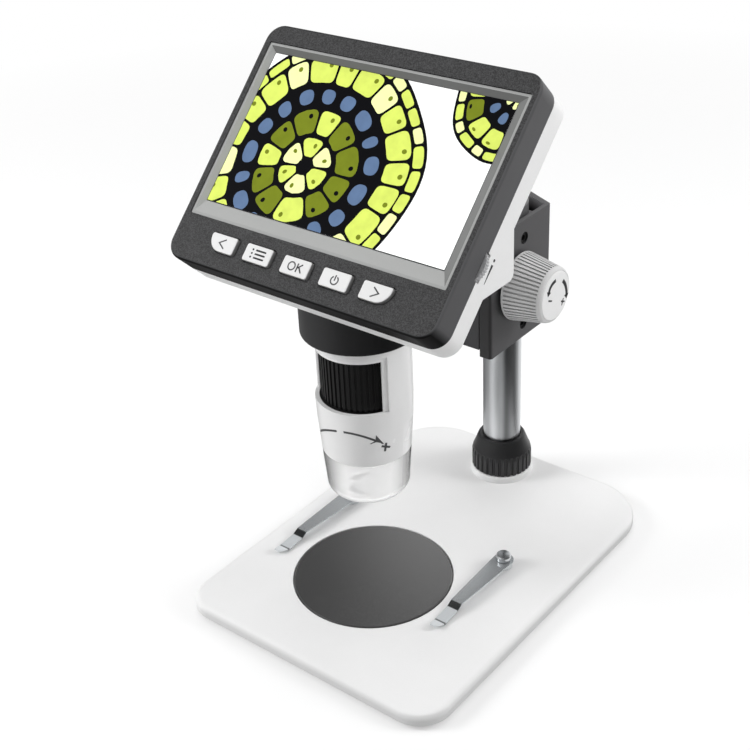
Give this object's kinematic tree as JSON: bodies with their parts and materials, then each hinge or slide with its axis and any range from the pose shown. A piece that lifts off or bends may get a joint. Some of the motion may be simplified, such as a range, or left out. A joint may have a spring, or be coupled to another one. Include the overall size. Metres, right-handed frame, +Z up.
{
  "type": "lcd digital microscope",
  "caption": "Desk microscope: a tilted colour screen head over a lens tube, raised by a rack lift on a pillar above a plate base with a stage disc and leaf clips.",
  "frame": {"origin": "on the underside plane of the base, at half its depth, on the plane that holds the lens, stage and pillar axes", "axes": "+X to the right seen from the screen, +Y to the back towards the pillar, +Z up"},
  "size_m": [0.114, 0.1496, 0.1936],
  "materials": {
    "backlight_metal": "folded tray",
    "barrel_black": "black anodised",
    "base_white": "satin moulded",
    "bezel_grey": "fine spark texture",
    "block_black": "dark anodised",
    "board_green": "solder mask",
    "board_white": "solder mask",
    "bracket_black": "black anodised extrusion",
    "bush_brass": "turned",
    "cap_black": "satin",
    "cap_clear": "clear polycarbonate",
    "carriage_black": "black anodised",
    "cell_silver": "foil pouch",
    "chip_black": "moulded",
    "clip_steel": "bright spring steel",
    "collar_black": "satin moulded",
    "cover_grey": "fine texture",
    "focus_ring_black": "ribbed",
    "guide_black": "matte",
    "key_white": "satin",
    "knob_cap_white": "satin",
    "knob_grey": "satin",
    "lcd_picture": "lit panel",
    "led_yellow": "phosphor",
    "lens_glass": "coated",
    "mat_rubber": "matte",
    "pillar_metal": "bright satin",
    "plate_steel": "zinc plated",
    "rack_brass": "milled",
    "ring_black": "satin",
    "screw_black": "black oxide",
    "screw_steel": "zinc plated",
    "sensor_glass": "coated",
    "shaft_steel": "ground",
    "shell_white": "satin",
    "socket_metal": "stamped",
    "stage_black": "satin",
    "stud_steel": "polished",
    "surround_grey": "satin",
    "switch_metal": "stamped",
    "tube_white": "gloss",
    "wheel_grey": "satin"
  },
  "bodies": {
    "stand": {"base_plate": "base_white", "base_weight": "plate_steel", "base_cover": "cover_grey", "rubber_mat": "mat_rubber", "cover_screws": "screw_steel", "stage_disc": "stage_black", "clip_studs": "stud_steel", "clip_nuts": "screw_steel", "pillar_tube": "pillar_metal", "pillar_insert": "screw_steel", "pillar_bolt": "screw_steel", "pillar_washer": "screw_steel", "pillar_cap": "cap_black", "bracket_channel": "bracket_black", "clamp_blocks": "block_black", "bracket_screws": "screw_black", "shaft_bushes": "bush_brass"},
    "clip_right": {"clip_right": "clip_steel"},
    "clip_left": {"clip_left": "clip_steel"},
    "lock_ring": {"lock_ring": "ring_black"},
    "focus_knobs": {"pinion_shaft": "shaft_steel", "knob_right": "knob_grey", "knob_left": "knob_grey", "knob_caps": "knob_cap_white"},
    "head": {"focus_rack": "rack_brass", "lift_carriage": "carriage_black", "tube_collar": "collar_black", "arm_screws": "screw_steel", "collar_screws": "screw_steel", "tube_shell": "tube_white", "barrel_guide": "guide_black", "front_cap": "cap_clear", "led_board": "board_white", "ring_leds": "led_yellow", "sensor_holder": "guide_black", "sensor_board": "board_green", "image_sensor": "sensor_glass", "front_bezel": "bezel_grey", "rear_shell": "shell_white", "screen_surround": "surround_grey", "lcd_panel": "lcd_picture", "lcd_backlight": "backlight_metal", "main_board": "board_green", "board_parts": "chip_black", "key_switches": "switch_metal", "battery_cell": "cell_silver", "shell_screws": "screw_steel", "usb_socket": "socket_metal", "card_socket": "socket_metal", "dimmer_control": "chip_black"},
    "focus_ring": {"focus_ring": "focus_ring_black"},
    "lens_barrel": {"lens_barrel": "barrel_black", "lens_glasses": "lens_glass"},
    "dimmer_wheel": {"dimmer_wheel": "wheel_grey"},
    "key_back": {"key_back": "key_white"},
    "key_menu": {"key_menu": "key_white"},
    "key_ok": {"key_ok": "key_white"},
    "key_power": {"key_power": "key_white"},
    "key_next": {"key_next": "key_white"}
  },
  "joints": [
    {"name": "head_lift", "type": "slide", "parent": "stand", "child": "head", "axis": [0, 0, 1], "range_m": [-0.028, 0.012]},
    {"name": "focus_turn", "type": "hinge", "parent": "stand", "child": "focus_knobs", "pos_m": [0, 0.0478, 0.0974], "axis": [-1, 0, 0], "range_deg": [-459, 197]},
    {"name": "ring_turn", "type": "hinge", "parent": "head", "child": "focus_ring", "pos_m": [0, -0.02373, 0.094], "axis": [0, 0, 1], "range_deg": [-90, 90]},
    {"name": "barrel_slide", "type": "slide", "parent": "head", "child": "lens_barrel", "axis": [0, 0, -1], "range_m": [-0.003, 0.003]},
    {"name": "clip_right_turn", "type": "hinge", "parent": "stand", "child": "clip_right", "pos_m": [0.0358, 0.007, 0.00875], "axis": [0, 0, 1], "range_deg": [-60, 25]},
    {"name": "clip_left_turn", "type": "hinge", "parent": "stand", "child": "clip_left", "pos_m": [-0.0352, 0.007, 0.00875], "axis": [0, 0, 1], "range_deg": [-25, 60]},
    {"name": "lock_ring_turn", "type": "hinge", "parent": "stand", "child": "lock_ring", "pos_m": [0, 0.0596, 0.016], "axis": [0, 0, 1], "range_deg": [0, 180]},
    {"name": "dimmer_turn", "type": "hinge", "parent": "head", "child": "dimmer_wheel", "pos_m": [0.04705, -0.03084, 0.14679], "axis": [0, -0.7071, 0.7071], "range_deg": [-135, 135]},
    {"name": "key_back_press", "type": "slide", "parent": "head", "child": "key_back", "axis": [0, 0.7071, -0.7071], "range_m": [0, 0.0007], "stiffness_N_per_m": 1500, "springref_m": -0.0002},
    {"name": "key_menu_press", "type": "slide", "parent": "head", "child": "key_menu", "axis": [0, 0.7071, -0.7071], "range_m": [0, 0.0007], "stiffness_N_per_m": 1500, "springref_m": -0.0002},
    {"name": "key_ok_press", "type": "slide", "parent": "head", "child": "key_ok", "axis": [0, 0.7071, -0.7071], "range_m": [0, 0.0007], "stiffness_N_per_m": 1500, "springref_m": -0.0002},
    {"name": "key_power_press", "type": "slide", "parent": "head", "child": "key_power", "axis": [0, 0.7071, -0.7071], "range_m": [0, 0.0007], "stiffness_N_per_m": 1500, "springref_m": -0.0002},
    {"name": "key_next_press", "type": "slide", "parent": "head", "child": "key_next", "axis": [0, 0.7071, -0.7071], "range_m": [0, 0.0007], "stiffness_N_per_m": 1500, "springref_m": -0.0002}
  ],
  "couplings": [
    {"joint": "focus_turn", "follows": "head_lift", "rad_per_m": 285.71},
    {"joint": "ring_turn", "follows": "barrel_slide", "rad_per_m": 523.3}
  ]
}
